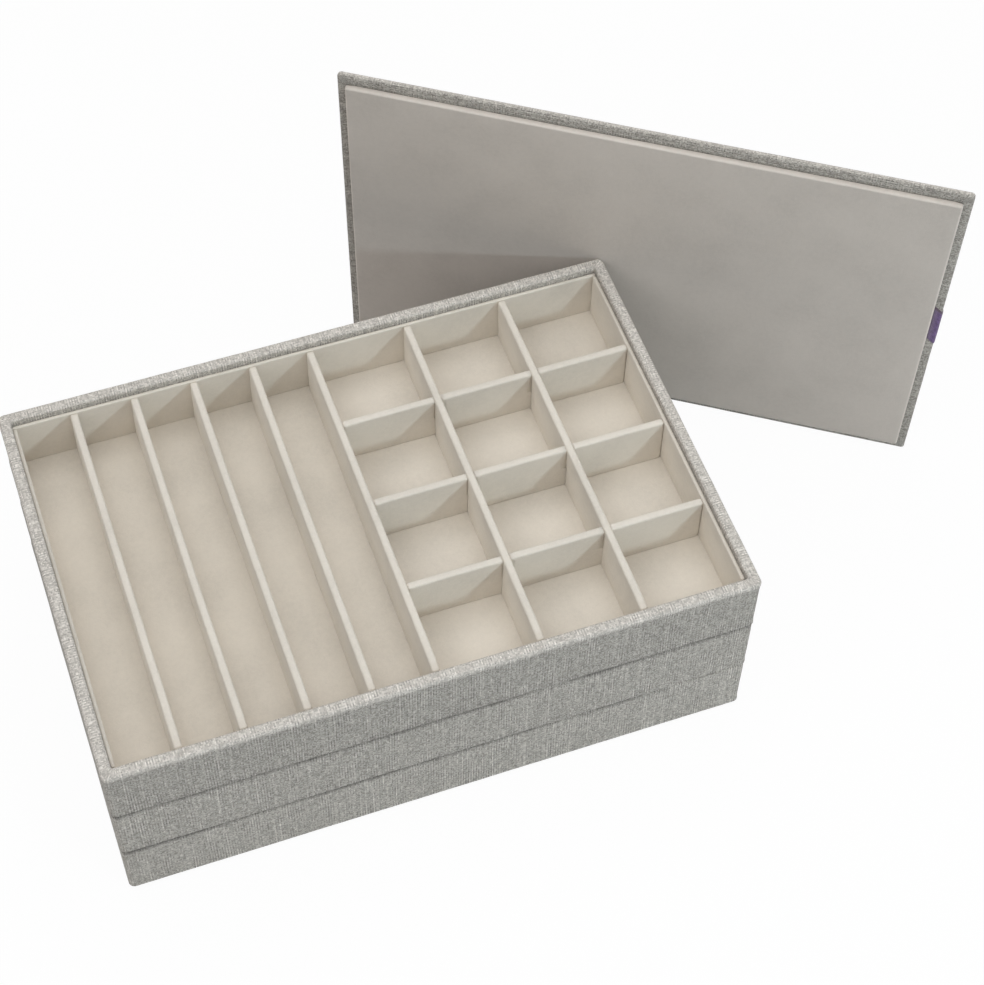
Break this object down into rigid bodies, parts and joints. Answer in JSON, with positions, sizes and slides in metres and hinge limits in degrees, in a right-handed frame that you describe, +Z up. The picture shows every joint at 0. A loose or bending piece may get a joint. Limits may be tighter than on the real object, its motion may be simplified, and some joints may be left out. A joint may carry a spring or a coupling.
{
  "type": "jewelry tray set",
  "caption": "Stack of linen-covered jewelry trays with velvet-lined channels and square cells, and a lift-off lid with a ribbon pull standing behind.",
  "frame": {"origin": "centre of the bottom tray's foot, on the surface that the set stands on", "axes": "+X along the trays' long side towards the square cells and the lid's ribbon end, +Y to the back, +Z up"},
  "size_m": [0.5163, 0.3245, 0.2325],
  "materials": {
    "linen": "heathered woven linen",
    "velvet": "short-pile velvet",
    "board": "raw fibreboard",
    "ribbon": "plain woven ribbon"
  },
  "bodies": {
    "bottom_tray": {"bottom_back_board": "board", "bottom_back_liner": "velvet", "bottom_base_board": "board", "bottom_column_divider_1": "velvet", "bottom_floor_pad": "velvet", "bottom_foot_panel": "velvet", "bottom_front_board": "board", "bottom_front_liner": "velvet", "bottom_left_board": "board", "bottom_left_liner": "velvet", "bottom_linen_wrap": "linen", "bottom_right_board": "board", "bottom_right_liner": "velvet"},
    "middle_tray": {"middle_back_board": "board", "middle_back_liner": "velvet", "middle_base_board": "board", "middle_column_divider_1": "velvet", "middle_column_divider_2": "velvet", "middle_column_divider_3": "velvet", "middle_floor_pad": "velvet", "middle_foot_panel": "velvet", "middle_front_board": "board", "middle_front_liner": "velvet", "middle_left_board": "board", "middle_left_liner": "velvet", "middle_linen_wrap": "linen", "middle_long_divider": "velvet", "middle_right_board": "board", "middle_right_liner": "velvet"},
    "top_tray": {"top_back_board": "board", "top_back_liner": "velvet", "top_base_board": "board", "top_channel_divider_1": "velvet", "top_channel_divider_2": "velvet", "top_channel_divider_3": "velvet", "top_channel_divider_4": "velvet", "top_channel_divider_5": "velvet", "top_column_divider_1": "velvet", "top_column_divider_2": "velvet", "top_floor_pad": "velvet", "top_foot_panel": "velvet", "top_front_board": "board", "top_front_liner": "velvet", "top_left_board": "board", "top_left_liner": "velvet", "top_linen_wrap": "linen", "top_right_board": "board", "top_right_liner": "velvet", "top_row_divider_1": "velvet", "top_row_divider_2": "velvet", "top_row_divider_3": "velvet"},
    "lid": {"lid_board": "board", "lid_linen_wrap": "linen", "lid_panel": "velvet", "lid_ribbon": "ribbon"}
  },
  "joints": [
    {"name": "middle_tray_lift", "type": "slide", "parent": "bottom_tray", "child": "middle_tray", "axis": [-0.0144, -0.0218, 0.9997], "range_m": [0, 0.12]},
    {"name": "top_tray_lift", "type": "slide", "parent": "middle_tray", "child": "top_tray", "axis": [-0.0144, -0.0218, 0.9997], "range_m": [0, 0.12]},
    {"name": "lid_lift", "type": "slide", "parent": "bottom_tray", "child": "lid", "axis": [0, 0, 1], "range_m": [0, 0.15]}
  ]
}
